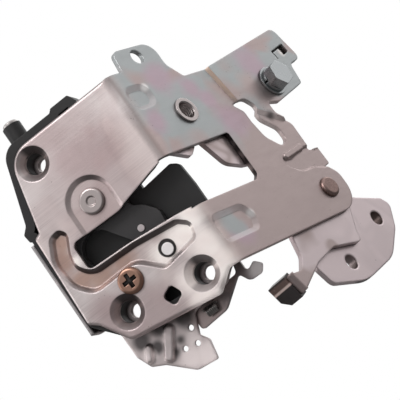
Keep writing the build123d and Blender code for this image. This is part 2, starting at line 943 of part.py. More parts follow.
with BuildPart() as tab_cap:
    with BuildSketch(side_at(upper_layer + foot_length + cap_reach)):
        Polygon(*foot_strip, align=None)
        offset(amount=cap_wall, kind=Kind.INTERSECTION)
    extrude(amount=foot_length + cap_reach - cap_start)
    end_edges = tab_cap.edges().group_by(side_axis)[0]
    chamfer(end_edges.sort_by(Axis.Z)[0], cap_corner)
    fillet(tab_cap.faces().sort_by(side_axis)[0].edges(), cap_edge)
    with BuildSketch(side_at(upper_layer + foot_length)):
        Polygon(*foot_strip, align=None)
    extrude(amount=foot_length, mode=Mode.SUBTRACT)
save(tab_cap, "tab_cap")

# Domed rivet that carries both levers
with BuildPart() as lever_rivet:
    with BuildSketch(side):
        with Locations(lever_pivot):
            Circle(lever_head_radius)
    extrude(amount=lever_head_height)
    fillet(lever_rivet.edges().group_by(side_axis)[-1], 0.7 * lever_head_height)
    with BuildSketch(side_at(lower_layer_end + running)):
        with Locations(lever_pivot):
            Circle(lever_pin_radius)
    extrude(amount=lower_layer_end + running)
    with BuildSketch(side_at(lower_layer_end + running + rivet_tail)):
        with Locations(lever_pivot):
            Circle(lever_pin_radius + rivet_tail)
    extrude(amount=rivet_tail)
save(lever_rivet, "lever_rivet")

# Threaded bush clinched in the side plate, the pivot of the link lever
bush_back = upper_layer_end + running
with BuildPart() as threaded_bush:
    with BuildSketch(side):
        with Locations(bush_place):
            Circle(bush_flange)
    extrude(amount=bush_flange_height)
    with BuildSketch(side_at(bush_back)):
        with Locations(bush_place):
            Circle(bush_barrel)
    extrude(amount=bush_back)
    with BuildSketch(side_at(bush_back + bush_flange_height)):
        with Locations(bush_place):
            Circle(bush_flange)
    extrude(amount=bush_flange_height)
    with BuildSketch(side_at(-bush_flange_height)):
        with Locations(bush_place):
            Circle(bush_bore)
    extrude(amount=-bush_back - 2 * bush_flange_height, mode=Mode.SUBTRACT)
    bush_mouth = threaded_bush.edges().group_by(side_axis)[-1].sort_by(SortBy.LENGTH)[0]
    chamfer(bush_mouth, bush_chamfer)
save(threaded_bush, "threaded_bush")

# Link lever, seen through the mouth in the side plate
link_outline = [
    (22.6, 27.0, 8),
    (22.4, 10.0, 6),
    (31.0, 3.0, 4),
    (37.2, -11.4, 7),
    (47.0, -15.4, 6),
    (57.5, -16.6, 4),
    (58.5, -4.0, 6),
    (44.0, 12.0, 8),
    (42.0, 27.0, 8),
]
with BuildPart() as link_lever:
    with BuildSketch(side_at(upper_layer_end)):
        with BuildLine():
            rounded(link_outline)
        make_face()
        with Locations(bush_place):
            Circle(bush_barrel + running, mode=Mode.SUBTRACT)
    extrude(amount=lever_sheet)
save(link_lever, "link_lever")

# Stop tongue welded behind the upper edge of the side mouth
tongue_outline = [
    (8.4, 12.0, 2),
    (8.8, 2.4, 2),
    (19.6, -2.6, 3),
    (25.6, 1.6, 1.5),
    (19.0, 9.0, 3),
    (18.0, 12.0, 1),
]
with BuildPart() as stop_tongue:
    with BuildSketch(side_at(2 * sheet)):
        with BuildLine():
            rounded(tongue_outline)
        make_face()
    extrude(amount=sheet)
save(stop_tongue, "stop_tongue")

# Bolt on the raised arm, with its two washers and the nut welded behind
arm_back = sheet - arm_lift
spring_washer_start = arm_lift + flat_washer_height
bolt_seat = spring_washer_start + spring_washer_height
with BuildPart() as flat_washer:
    with BuildSketch(side_at(-arm_lift)):
        with Locations(bolt_place):
            Circle(flat_washer_radius)
            Circle(bolt_radius, mode=Mode.SUBTRACT)
    extrude(amount=flat_washer_height)
save(flat_washer, "flat_washer")

with BuildPart() as spring_washer:
    with BuildSketch(side_at(-spring_washer_start)):
        with Locations(bolt_place):
            Circle(spring_washer_radius)
            Circle(bolt_radius, mode=Mode.SUBTRACT)
            with Locations((-spring_washer_radius, 0)):
                Rectangle(spring_washer_radius, spring_washer_split, mode=Mode.SUBTRACT)
    extrude(amount=spring_washer_height)
save(spring_washer, "spring_washer")

with BuildPart() as hex_bolt:
    with BuildSketch(side_at(-bolt_seat)):
        with Locations(Location((*bolt_place, 0), (0, 0, bolt_turn))):
            RegularPolygon(bolt_across_flats / 2, 6, major_radius=False)
    extrude(amount=bolt_head)
    with BuildSketch(side_at(-bolt_seat)):
        with Locations(bolt_place):
            Circle(bolt_across_flats / 2 / cos(radians(30)))
    extrude(amount=bolt_head, taper=bolt_crown, mode=Mode.INTERSECT)
    with BuildSketch(side_at(bolt_length - bolt_seat)):
        with Locations(bolt_place):
            Circle(bolt_radius)
    extrude(amount=bolt_length)
save(hex_bolt, "hex_bolt")

with BuildPart() as weld_nut:
    with BuildSketch(side_at(arm_back)):
        with Locations(Location((*bolt_place, 0), (0, 0, bolt_turn))):
            RegularPolygon(bolt_across_flats / 2, 6, major_radius=False)
            Circle(bolt_radius, mode=Mode.SUBTRACT)
    extrude(amount=-nut_height)
save(weld_nut, "weld_nut")
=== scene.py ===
import json
from math import cos, pi, sin, tau

import bmesh
import bpy
from bpy.props import FloatProperty, FloatVectorProperty, PointerProperty
from mathutils import Matrix, Vector


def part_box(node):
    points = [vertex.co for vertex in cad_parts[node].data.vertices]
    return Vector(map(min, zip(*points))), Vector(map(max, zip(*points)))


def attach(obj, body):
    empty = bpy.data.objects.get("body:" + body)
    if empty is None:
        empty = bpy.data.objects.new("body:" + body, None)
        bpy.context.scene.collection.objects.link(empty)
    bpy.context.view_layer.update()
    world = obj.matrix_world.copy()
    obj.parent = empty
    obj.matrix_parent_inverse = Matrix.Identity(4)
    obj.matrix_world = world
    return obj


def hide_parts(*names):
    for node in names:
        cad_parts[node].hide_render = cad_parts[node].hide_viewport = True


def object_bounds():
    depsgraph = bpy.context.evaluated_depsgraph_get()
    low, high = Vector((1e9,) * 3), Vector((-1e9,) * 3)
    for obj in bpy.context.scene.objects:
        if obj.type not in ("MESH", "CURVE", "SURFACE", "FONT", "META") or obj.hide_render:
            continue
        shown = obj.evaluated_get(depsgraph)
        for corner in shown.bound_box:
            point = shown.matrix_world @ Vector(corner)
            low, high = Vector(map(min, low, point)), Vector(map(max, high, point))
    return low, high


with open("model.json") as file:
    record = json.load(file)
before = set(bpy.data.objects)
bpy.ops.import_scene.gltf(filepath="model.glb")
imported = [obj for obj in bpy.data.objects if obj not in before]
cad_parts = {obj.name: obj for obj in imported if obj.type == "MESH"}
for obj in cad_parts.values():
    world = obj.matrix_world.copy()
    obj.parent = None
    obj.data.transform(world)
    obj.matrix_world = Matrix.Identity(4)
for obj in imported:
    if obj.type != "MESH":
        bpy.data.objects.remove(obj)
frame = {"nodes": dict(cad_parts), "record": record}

bl_info = {
    "name": "Sliding Door Lock",
    "version": (1, 0, 0),
    "blender": (4, 5, 0),
    "location": "3D View > Sidebar > Door Lock",
    "description": "Finishes and small parts of a sliding door lock",
    "category": "Object",
}

CAD_BOX = [list(corner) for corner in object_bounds()]

# Directions of the lock: the side plate runs along SIDE and faces OUT
SIDE = Vector((0.46947, 0.88295, 0.0))
OUT = Vector((0.88295, -0.46947, 0.0))
UP = Vector((0.0, 0.0, 1.0))
INWARD = Vector((0.0, 1.0, 0.0))

# The fold's edge, and a point there on the outer face of the side plate
FOLD_X = 0.0497
SIDE_FACE = Vector((FOLD_X, -0.016, -0.0348))

# Heights along Y of the surfaces that carry patches
FACE_Y = -0.0160
POCKET_Y = -0.0135
FLANGE_Y = -0.0137
BRACKET_Y = -0.0015

# Window of the arm: its place on the side plate, its tilt and half its size
WINDOW_ALONG = 0.1187
WINDOW_UP = 0.0308
WINDOW_TILT = 0.2094
WINDOW_HALF_LENGTH = 0.0070
WINDOW_HALF_HEIGHT = 0.0038

# Threads, in metres
THREAD_PITCH = 0.00125
BOLT_RADIUS = 0.004
FIXING_RADIUS = 0.0034
BUSH_RADIUS = 0.0041

ZINC_METALLIC = 0.92
# Colour of the painted shade in corners
CORNER_SHADE = (0.055, 0.045, 0.045)
# Colour of painted shade in dark rings and lines
PAINTED_SHADE = (0.03, 0.025, 0.025)


# Values that a user may change

def colour(name, description, value):
    """A colour that a user may change."""
    return FloatVectorProperty(
        name=name, description=description, default=value,
        subtype="COLOR", size=3, min=0.0, max=1.0)


class LockSteelValues(bpy.types.PropertyGroup):
    warm: colour("Warm grey", "Zinc on the face plate", (0.80, 0.72, 0.71))
    shade: colour("Painted shade grey", "Painted shade amid the face plate", (0.55, 0.43, 0.43))
    highlight_cream: colour("Highlight cream", "Painted highlight at the end of the pocket", (1.0, 0.93, 0.89))
    amber: colour("Amber", "Yellowed grease in the pocket", (0.54, 0.35, 0.28))
    lilac: colour("Lilac", "Tint of the passivated zinc", (0.53, 0.395, 0.455))
    teal: colour("Grey green", "Tint of the passivated zinc", (0.45, 0.47, 0.475))
    brown: colour("Brown grey", "Tint of the handled zinc", (0.50, 0.405, 0.395))
    levers: colour("Lever steel", "Zinc on the levers", (0.76, 0.645, 0.655))
    back: colour("Rear steel", "Zinc on the plate behind the housing", (0.84, 0.735, 0.73))
    dull: colour("Dull steel", "Darker colour of the release lever", (0.30, 0.26, 0.265))
    streaks: FloatProperty(
        name="Streak strength", description="How strongly the rolling marks show",
        default=0.34, min=0.0, max=1.0, subtype="FACTOR")
    wire: FloatProperty(
        name="Spring wire", description="Diameter of the wire of the release spring",
        default=0.0009, min=0.0002, subtype="DISTANCE")


class LockTrimValues(bpy.types.PropertyGroup):
    plastic: colour("Housing plastic", "Moulded black housing", (0.017, 0.016, 0.0165))
    coating: colour("Claw coating", "Dark coating of the claw", (0.030, 0.028, 0.029))
    cap: colour("Cap", "Dip-moulded cap on the foot", (0.022, 0.018, 0.018))
    screw: colour("Screw plating", "Yellow brown plating", (0.42, 0.245, 0.185))
    rivet: colour("Rivet", "Browned rivet", (0.40, 0.275, 0.25))
    bolt: colour("Bolt", "Bright zinc bolt", (0.52, 0.54, 0.55))
    peg: colour("Peg", "Light peg of the claw", (0.36, 0.32, 0.325))


class LockStageValues(bpy.types.PropertyGroup):
    floor: colour("Floor", "Colour of the floor", (0.86, 0.86, 0.86))
    key_power: FloatProperty(
        name="Key lamp", description="Power of the large lamp above the camera",
        default=6.5, min=0.0, subtype="POWER")
    fill_power: FloatProperty(
        name="Fill lamp", description="Power of the lamp on the left",
        default=1.6, min=0.0, subtype="POWER")
    sky: FloatProperty(
        name="Ambient", description="Strength of the even light from all round",
        default=0.62, min=0.0, max=2.0)
    mirror: FloatProperty(
        name="Mirrored floor", description="Strength of the floor as metal reflects it",
        default=0.16, min=0.0, max=1.0)
    lens: FloatProperty(
        name="Lens", description="Focal length of the camera in millimetres",
        default=133.96, min=10.0)


# Node helpers

def new_group(name, inputs, outputs):
    """An empty node group with the given sockets."""
    group = bpy.data.node_groups.new(name, "ShaderNodeTree")
    for label, kind, value in inputs:
        socket = group.interface.new_socket(name=label, in_out="INPUT", socket_type=kind)
        socket.default_value = value
    for label, kind in outputs:
        group.interface.new_socket(name=label, in_out="OUTPUT", socket_type=kind)
    start = group.nodes.new("NodeGroupInput")
    end = group.nodes.new("NodeGroupOutput")
    return group, start.outputs, end.inputs


def fill(tree, socket, value):
    """Links another socket to an input, or gives the input a value."""
    if isinstance(value, bpy.types.NodeSocket):
        tree.links.new(value, socket)
    elif socket.type == "RGBA":
        socket.default_value = (*value[:3], 1.0)
    else:
        socket.default_value = value


def node(tree, kind, inputs=(), **settings):
    """A node with its settings, and its inputs linked or filled in."""
    made = tree.nodes.new(kind)
    for name, value in settings.items():
        setattr(made, name, value)
    for name, value in dict(inputs).items():
        fill(tree, made.inputs[name], value)
    return made


def math_node(tree, operation, first, second):
    """A math node fed by sockets or numbers."""
    return node(tree, "ShaderNodeMath", {0: first, 1: second}, operation=operation).outputs[0]


def times(tree, first, second):
    """The product of two values."""
    return math_node(tree, "MULTIPLY", first, second)


def larger(tree, first, second):
    """The larger of two values."""
    return math_node(tree, "MAXIMUM", first, second)


def less(tree, first, second):
    """One value less another."""
    return math_node(tree, "SUBTRACT", first, second)


def mix_colour(tree, factor, first, second, blend="MIX"):
    """A colour mix fed by sockets or colours."""
    made = node(tree, "ShaderNodeMix", data_type="RGBA", blend_type=blend)
    for name, value in (("Factor_Float", factor), ("A_Color", first), ("B_Color", second)):
        fill(tree, next(s for s in made.inputs if s.identifier == name), value)
    return next(s for s in made.outputs if s.identifier == "Result_Color")


def over(tree, below, above, mask, amount):
    """One colour laid over another under a mask."""
    return mix_colour(tree, times(tree, mask, amount), below, above)


def mix_shader(tree, factor, first, second):
    """The first shader where a factor is 0 and the second where it is 1."""
    return node(tree, "ShaderNodeMixShader",
                {0: factor, 1: first.outputs[0], 2: second.outputs[0]})


def ramp(tree, source, stops):
    """A colour ramp whose grey stops are (place, value)."""
    made = node(tree, "ShaderNodeValToRGB", {"Fac": source})
    elements = made.color_ramp.elements
    while len(elements) < len(stops):
        elements.new(1.0)
    for element, (place, value) in zip(elements, stops):
        element.position = place
        element.color = (value, value, value, 1.0)
    return made.outputs["Color"]


def spread(tree, source, low, high):
    """A value running softly from 0 to 1 between two limits."""
    made = node(tree, "ShaderNodeMapRange",
                {"Value": source, "From Min": low, "From Max": high},
                interpolation_type="SMOOTHSTEP")
    return made.outputs["Result"]


def scaled(tree, source, low, high):
    """A value that runs from low to high as its source runs from 0 to 1."""
    made = node(tree, "ShaderNodeMapRange", {"Value": source, "To Min": low, "To Max": high})
    return made.outputs["Result"]


def own_place(tree, output="Object"):
    """Where a point lies in its object, or another of its own coordinates."""
    return node(tree, "ShaderNodeTexCoord").outputs[output]


def axes(tree, place):
    """The x, y and z of a place."""
    return node(tree, "ShaderNodeSeparateXYZ", {0: place}).outputs


def noise(tree, place, **inputs):
    """Soft noise over a place."""
    return node(tree, "ShaderNodeTexNoise", {"Vector": place, **inputs}).outputs["Fac"]


def compared(tree, source, operation, other):
    """The dot product of two vectors, or the distance between them."""
    made = node(tree, "ShaderNodeVectorMath", {0: source, 1: other}, operation=operation)
    return made.outputs["Value"]


# Shared effects

def streak_group():
    """Fine rolling marks along one direction of the object."""
    group, _, end = new_group(
        "Rolled streaks", [], [("Mask", "NodeSocketFloat"), ("Height", "NodeSocketFloat")])
    marks = []
    for scale, detail in (((18.0, 400.0, 2600.0), 3.0), ((9.0, 120.0, 520.0), 2.0)):
        drawn = node(group, "ShaderNodeMapping", {"Vector": own_place(group), "Scale": scale})
        marks.append(noise(group, drawn.outputs["Vector"], Scale=1.0, Detail=detail,
                           Roughness=0.6))
    total = math_node(group, "ADD", times(group, marks[0], 0.55), times(group, marks[1], 0.45))
    group.links.new(ramp(group, total, [(0.36, 0.0), (0.64, 1.0)]), end["Mask"])
    group.links.new(marks[0], end["Height"])
    return group


def tint_group():
    """Soft patches of three tints, as passivated zinc shows."""
    grey = (0.5, 0.5, 0.5, 1)
    group, start, end = new_group(
        "Passivated tint",
        [("First", "NodeSocketColor", grey), ("Second", "NodeSocketColor", grey),
         ("Third", "NodeSocketColor", grey), ("Size", "NodeSocketFloat", 30.0),
         ("Shift", "NodeSocketFloat", 0.0)],
        [("Color", "NodeSocketColor")])
    moved = node(group, "ShaderNodeVectorMath", {0: own_place(group), 1: start["Shift"]},
                 operation="ADD")
    cloud = noise(group, moved.outputs["Vector"], Scale=start["Size"], Detail=1.5,
                  Distortion=0.9)
    first_band = ramp(group, cloud, [(0.40, 0.0), (0.50, 1.0)])
    second_band = ramp(group, cloud, [(0.53, 0.0), (0.62, 1.0)])
    mixed = mix_colour(group, first_band, start["First"], start["Second"])
    mixed = mix_colour(group, second_band, mixed, start["Third"])
    group.links.new(mixed, end["Color"])
    return group


def wear_and_shade_group():
    """Bright edges, partly wear and partly a painted highlight, and painted shade in corners."""
    group, start, end = new_group(
        "Edge wear and painted light",
        [("Color", "NodeSocketColor", (0.5, 0.5, 0.5, 1)),
         ("Worn", "NodeSocketColor", (0.8, 0.8, 0.8, 1)),
         ("Grime", "NodeSocketColor", (0.1, 0.09, 0.08, 1)),
         ("Wear", "NodeSocketFloat", 0.5),
         ("Dirt", "NodeSocketFloat", 0.3)],
        [("Color", "NodeSocketColor")])
    # Edges lighten, partly as wear and partly as a painted highlight
    flat = node(group, "ShaderNodeNewGeometry").outputs["Normal"]
    rounded = node(group, "ShaderNodeBevel", {"Radius": 0.0006}, samples=4).outputs["Normal"]
    edge = ramp(group, compared(group, rounded, "DOT_PRODUCT", flat),
                [(0.80, 1.0), (0.985, 0.0)])
    chips = noise(group, own_place(group), Scale=260.0, Detail=3.0)
    worn = times(group, edge, ramp(group, chips, [(0.35, 0.2), (0.6, 1.0)]))
    worn = times(group, worn, start["Wear"])
    # Painted shade in corners and creases, from ambient occlusion
    corners = []
    for reach, stops in ((0.003, [(0.22, 1.0), (0.72, 0.0)]),
                         (0.0009, [(0.40, 1.0), (0.82, 0.0)])):
        shade = node(group, "ShaderNodeAmbientOcclusion", {"Distance": reach}, samples=6)
        corners.append(ramp(group, shade.outputs["AO"], stops))
    deep = times(group, larger(group, *corners), start["Dirt"])
    mixed = mix_colour(group, deep, start["Color"], start["Grime"])
    mixed = mix_colour(group, worn, mixed, start["Worn"])
    group.links.new(mixed, end["Color"])
    return group


def patch_group():
    """A soft uneven patch round a point of the object."""
    group, start, end = new_group(
        "Soft patch",
        [("Centre", "NodeSocketVector", (0.0, 0.0, 0.0)), ("Radius", "NodeSocketFloat", 0.01)],
        [("Mask", "NodeSocketFloat")])
    place = own_place(group)
    uneven = times(group, noise(group, place, Scale=70.0, Detail=3.0), start["Radius"])
    far = compared(group, place, "DISTANCE", start["Centre"])
    part = math_node(group, "DIVIDE", math_node(group, "ADD", far, uneven), start["Radius"])
    group.links.new(spread(group, part, 1.5, 0.75), end["Mask"])
    return group


def grain_group():
    """Small even grain for moulded and coated surfaces."""
    group, start, end = new_group(
        "Fine grain",
        [("Size", "NodeSocketFloat", 900.0), ("Low", "NodeSocketFloat", 0.4),
         ("High", "NodeSocketFloat", 0.6)],
        [("Value", "NodeSocketFloat"), ("Height", "NodeSocketFloat")])
    place = own_place(group)
    large = noise(group, place, Scale=60.0, Detail=3.0)
    group.links.new(scaled(group, large, start["Low"], start["High"]), end["Value"])
    group.links.new(noise(group, place, Scale=start["Size"], Detail=2.0), end["Height"])
    return group


def speck_group():
    """Small scattered pits and grease dots."""
    group, start, end = new_group(
        "Specks", [("Size", "NodeSocketFloat", 500.0)], [("Mask", "NodeSocketFloat")])
    place = own_place(group)
    cells = node(group, "ShaderNodeTexVoronoi", {"Vector": place, "Scale": start["Size"]})
    dots = ramp(group, cells.outputs["Distance"], [(0.08, 1.0), (0.2, 0.0)])
    where = noise(group, place, Scale=130.0, Detail=2.0)
    some = ramp(group, where, [(0.58, 0.0), (0.68, 1.0)])
    group.links.new(times(group, dots, some), end["Mask"])
    return group


GROUPS = {}


def effect(name):
    """The shared effect of that name, built once."""
    makers = {"streaks": streak_group, "tint": tint_group, "wear": wear_and_shade_group,
              "grain": grain_group, "specks": speck_group, "patch": patch_group}
    if name not in GROUPS:
        GROUPS[name] = makers[name]()
    return GROUPS[name]


def use(tree, name, **inputs):
    """The outputs of a shared effect placed in a material."""
    return node(tree, "ShaderNodeGroup", inputs, node_tree=effect(name)).outputs


def new_material(name, metallic, roughness, **settings):
    """A material with its shader, and the tree that feeds it."""
    material = bpy.data.materials.new(name)
    material.use_nodes = True
    tree = material.node_tree
    shader = tree.nodes["Principled BSDF"]
    shader.inputs["Metallic"].default_value = metallic
    shader.inputs["Roughness"].default_value = roughness
    for label, value in settings.items():
        shader.inputs[label.replace("_", " ")].default_value = value
    return material, tree, shader


def reopened(material):
    """The tree and shader of a finished material, and its base colour so far."""
    tree = material.node_tree
    shader = tree.nodes["Principled BSDF"]
    return tree, shader, shader.inputs["Base Color"].links[0].from_socket


def bump(tree, shader, height, strength, distance, soft=0.00035):
    """Bump from a height on top of softly rounded edges."""
    edges = node(tree, "ShaderNodeBevel", {"Radius": soft}, samples=6)
    made = node(tree, "ShaderNodeBump", {
        "Strength": strength, "Distance": distance,
        "Height": height, "Normal": edges.outputs["Normal"]})
    tree.links.new(made.outputs["Normal"], shader.inputs["Normal"])


def spread_roughness(tree, shader, source, low, high):
    """Roughness that follows a mask between two values."""
    tree.links.new(scaled(tree, source, low, high), shader.inputs["Roughness"])


def paler(tree, shader, mask):
    """Less metallic, so more evenly lit, under a mask."""
    tree.links.new(scaled(tree, mask, ZINC_METALLIC, 0.3), shader.inputs["Metallic"])


def altered(main, factor, lift=0.0):
    """A colour made darker or lighter."""
    return [min(1.0, value * factor + lift) for value in main]


# Patches of the zinc, each with its centre and its radius

def at_depth(y, *places):
    """Patches at one depth, each from its x, its z and its radius."""
    return tuple(((x, y, z), radius) for x, z, radius in places)


LILAC_PATCHES = (
    ((0.0633, 0.0096, 0.0017), 0.011), ((0.0705, 0.0232, -0.0071), 0.009),
    ((0.0549, -0.0063, -0.0181), 0.009), ((0.0763, 0.0340, -0.0280), 0.013),
    ((0.0735, 0.0288, -0.0146), 0.008), ((0.0933, 0.0660, -0.0050), 0.014),
    ((0.0564, -0.0033, -0.0787), 0.010))
BROWN_PATCHES = (((0.0883, 0.0566, -0.0150), 0.010), ((0.0902, 0.0601, -0.0260), 0.012))
TEAL_PATCHES = (
    ((0.0554, -0.0052, -0.0725), 0.0080), ((0.0575, -0.0012, -0.0753), 0.0070),
    ((0.0566, -0.0030, -0.0706), 0.0060))
WALL_SHADE_PATCHES = (
    ((0.0717, 0.0253, -0.0349), 0.006), ((0.0720, 0.0258, -0.0420), 0.006),
    ((0.0720, 0.0256, -0.0490), 0.006), ((0.0714, 0.0249, -0.0560), 0.006),
    ((0.0670, 0.0175, -0.0600), 0.005))
EMBOSS_PATCHES = (((0.0550, -0.0061, -0.0039), 0.017), ((0.0564, -0.0033, -0.0739), 0.021))
STEP_HIGHLIGHTS = (
    ((0.0804, 0.0417, -0.0024), 0.008), ((0.0810, 0.0428, -0.0096), 0.008),
    ((0.0815, 0.0438, -0.0167), 0.008))
LEG_PATCHES = (((0.0870, 0.0540, -0.0325), 0.016),)
SMUDGE_PATCHES = (((0.0880, 0.0561, -0.0331), 0.0042),)
TAB_HIGHLIGHTS = (((0.1061, 0.0895, -0.0047), 0.0042),)
ARC_HIGHLIGHTS = (((0.0580, -0.0004, -0.0002), 0.0030), ((0.0625, 0.0081, -0.0725), 0.0032))
HOOK_PATCHES = (((0.0522, 0.0006, -0.0947), 0.007),)
DIMPLE_SHADE_PATCHES = at_depth(-0.0140, (0.0008, -0.0738, 0.012), (0.0377, -0.0799, 0.012))
AMBER_PATCHES = at_depth(
    POCKET_Y, (-0.0102, -0.0353, 0.006), (-0.0148, -0.0437, 0.008), (-0.0127, -0.0549, 0.008),
    (-0.0030, -0.0606, 0.010), (0.0080, -0.0603, 0.009))
POCKET_HIGHLIGHTS = at_depth(POCKET_Y, (0.0369, -0.0658, 0.014), (0.0246, -0.0690, 0.011))
FACE_HIGHLIGHTS = at_depth(
    FACE_Y, (0.0290, -0.0836, 0.010), (0.0441, -0.0752, 0.014), (0.0439, -0.0878, 0.014),
    (0.0303, -0.0940, 0.011), (0.0451, -0.0617, 0.011), (-0.0086, -0.0468, 0.004))
SHADE_PATCHES = at_depth(
    FACE_Y, (0.0302, -0.0135, 0.016), (0.0185, -0.0110, 0.014), (-0.0096, -0.0790, 0.018),
    (0.0070, -0.0860, 0.018))
BRACKET_SHADOWS = at_depth(
    BRACKET_Y, (-0.0094, -0.0905, 0.0060), (0.0131, -0.0930, 0.0070),
    (0.0013, -0.0900, 0.0060), (0.0013, -0.1032, 0.0042), (-0.0043, -0.0965, 0.0040),
    (0.0060, -0.1000, 0.0036))
RIB_HIGHLIGHTS = at_depth(
    BRACKET_Y, (0.0025, -0.0965, 0.0044), (-0.0100, -0.0973, 0.0044),
    (0.0060, -0.1085, 0.0080), (0.0125, -0.1110, 0.0090), (0.0110, -0.1040, 0.0060))
FLANGE_SHADE_PATCHES = at_depth(
    FLANGE_Y, (-0.0226, -0.0310, 0.0085), (-0.0225, -0.0382, 0.0085),
    (-0.0224, -0.0454, 0.0085), (-0.0222, -0.0525, 0.0085), (-0.0221, -0.0595, 0.0085),
    (-0.0220, -0.0666, 0.0085), (-0.0219, -0.0736, 0.0085))


def patches(tree, colour_now, colour_there, places, strength, only=1.0):
    """Lays one colour over another in soft patches."""
    for centre, radius in places:
        mask = use(tree, "patch", Centre=centre, Radius=radius)["Mask"]
        colour_now = over(tree, colour_now, colour_there, times(tree, mask, strength), only)
    return colour_now


def region(tree, places, only=1.0):
    """Where any of several soft patches lies."""
    total = 0.0
    for centre, radius in places:
        total = larger(tree, total, use(tree, "patch", Centre=centre, Radius=radius)["Mask"])
    return times(tree, total, only)


def facing(tree, direction, low, high):
    """How far the surface of the object turns to a direction."""
    turn = compared(tree, own_place(tree, "Normal"), "DOT_PRODUCT", direction)
    return spread(tree, turn, low, high)


def between(tree, direction, steep, flat):
    """Where the surface turns to neither side of a sheet, as on a wall or a slope."""
    return times(tree, facing(tree, direction, steep, flat),
                 facing(tree, direction * -1.0, steep, flat))


# Materials

def plated(tree, shader, colour_now, worn, wear, shade_amount, speck_size, speck_colour, speck_amount):
    """Base colour of plated sheet, with worn edges that carry a painted highlight, painted shade
    in corners and specks.
    """
    used = use(tree, "wear", Color=colour_now, Worn=worn, Grime=CORNER_SHADE, Wear=wear, Dirt=shade_amount)
    specks = use(tree, "specks", Size=speck_size)["Mask"]
    dotted = over(tree, used["Color"], speck_colour, specks, speck_amount)
    tree.links.new(dotted, shader.inputs["Base Color"])


def face_colour(tree, steel, place, marks):
    """Colour of the face plate and its pocket, and where they are pale."""
    x, y, z = axes(tree, place)
    # Painted shade amid the face plate and in patches
    middle = times(tree, spread(tree, x, 0.045, 0.026), spread(tree, x, -0.016, 0.014))
    middle = times(tree, middle, spread(tree, z, -0.055, -0.040))
    shown = over(tree, steel.warm, steel.shade, middle, 0.6)
    shown = patches(tree, shown, steel.shade, SHADE_PATCHES, 0.8)
    # Grease in the pocket, and painted highlights at its end and on the face
    pocket = spread(tree, y, -0.0150, -0.0142)
    shown = over(tree, shown, (0.60, 0.45, 0.42), pocket, 0.45)
    shown = patches(tree, shown, steel.amber, AMBER_PATCHES, 0.85, pocket)
    pale = larger(tree, region(tree, FACE_HIGHLIGHTS, 0.85), region(tree, POCKET_HIGHLIGHTS, pocket))
    shown = mix_colour(tree, pale, shown, steel.highlight_cream)
    # Rolling marks, rubbed away in places
    rubbed = noise(tree, place, Scale=75.0, Detail=2.0)
    strength = times(tree, marks, ramp(tree, rubbed, [(0.40, 0.35), (0.62, 1.35)]))
    strength = times(tree, times(tree, strength, steel.streaks), less(tree, 1.0, pale))
    shown = mix_colour(tree, strength, shown, altered(steel.shade, 0.62))
    blotch = use(tree, "tint", First=(1.0, 1.0, 1.0), Second=(0.93, 0.90, 0.90),
                 Third=(1.0, 0.96, 0.95), Size=34.0, Shift=0.3)
    shown = mix_colour(tree, 1.0, shown, blotch["Color"], "MULTIPLY")
    # Painted shade on the upper rims, and on the walls of the pocket and the dimples
    rounded = node(tree, "ShaderNodeBevel", {"Radius": 0.0009}, samples=6)
    upwards = compared(tree, rounded.outputs["Normal"], "DOT_PRODUCT", UP)
    shown = over(tree, shown, (0.30, 0.26, 0.26), spread(tree, upwards, 0.08, 0.32), 0.75)
    # Painted shade on walls that face down, in the pocket and round the dimples
    inner = larger(tree, spread(tree, z, -0.0735, -0.0700), region(tree, DIMPLE_SHADE_PATCHES))
    shaded_walls = times(tree, facing(tree, (-0.59, 0.0, -0.81), 0.34, 0.6), inner)
    shown = over(tree, shown, (0.06, 0.055, 0.056), shaded_walls, 0.9)
    # Painted shade in a ring round the flat rivet
    away = compared(tree, place, "DISTANCE", (0.0275, POCKET_Y, -0.0660))
    return mix_colour(tree, spread(tree, away, 0.0043, 0.0038), shown, PAINTED_SHADE), pale


def side_colour(tree, steel, z):
    """Colour of the side plate and its arm, and where they are evenly lit."""
    base = mix_colour(tree, spread(tree, z, -0.024, -0.052), steel.teal, steel.brown)
    shown = use(tree, "tint", First=base, Second=base, Third=steel.brown, Size=30.0,
                Shift=1.7)["Color"]
    shown = patches(tree, shown, steel.lilac, LILAC_PATCHES, 0.85)
    shown = patches(tree, shown, altered(steel.brown, 1.06), BROWN_PATCHES, 0.9)
    shown = patches(tree, shown, steel.teal, TEAL_PATCHES, 0.9)
    slopes = between(tree, OUT, 0.97, 0.86)
    # Slopes of the embosses painted lighter and made evenly lit, evening out their shade
    embossed = region(tree, EMBOSS_PATCHES, slopes)
    shown = over(tree, shown, (0.55, 0.50, 0.51), embossed, 0.6)
    # Painted highlight arcs on the embosses
    shown = patches(tree, shown, (1.0, 0.96, 0.95), ARC_HIGHLIGHTS, 0.9)
    # Slopes round the leg painted lighter and made evenly lit, evening out their shade
    leg = region(tree, LEG_PATCHES, slopes)
    shown = mix_colour(tree, leg, shown, (0.55, 0.47, 0.46))
    shown = patches(tree, shown, (0.05, 0.045, 0.045), SMUDGE_PATCHES, 0.85)
    # Painted orange highlight on the step of the arm
    shown = patches(tree, shown, (1.0, 0.74, 0.60), STEP_HIGHLIGHTS, 0.85,
                    facing(tree, SIDE * -1.0, 0.25, 0.6))
    # Painted highlight on the tab in the window of the arm
    shown = patches(tree, shown, steel.highlight_cream, TAB_HIGHLIGHTS, 0.9)
    # Painted shade on the cut edge along the mouth
    shown = patches(tree, shown, (0.02, 0.018, 0.018), WALL_SHADE_PATCHES, 0.97,
                    between(tree, OUT, 0.7, 0.3))
    return shown, larger(tree, embossed, times(tree, leg, 0.8))


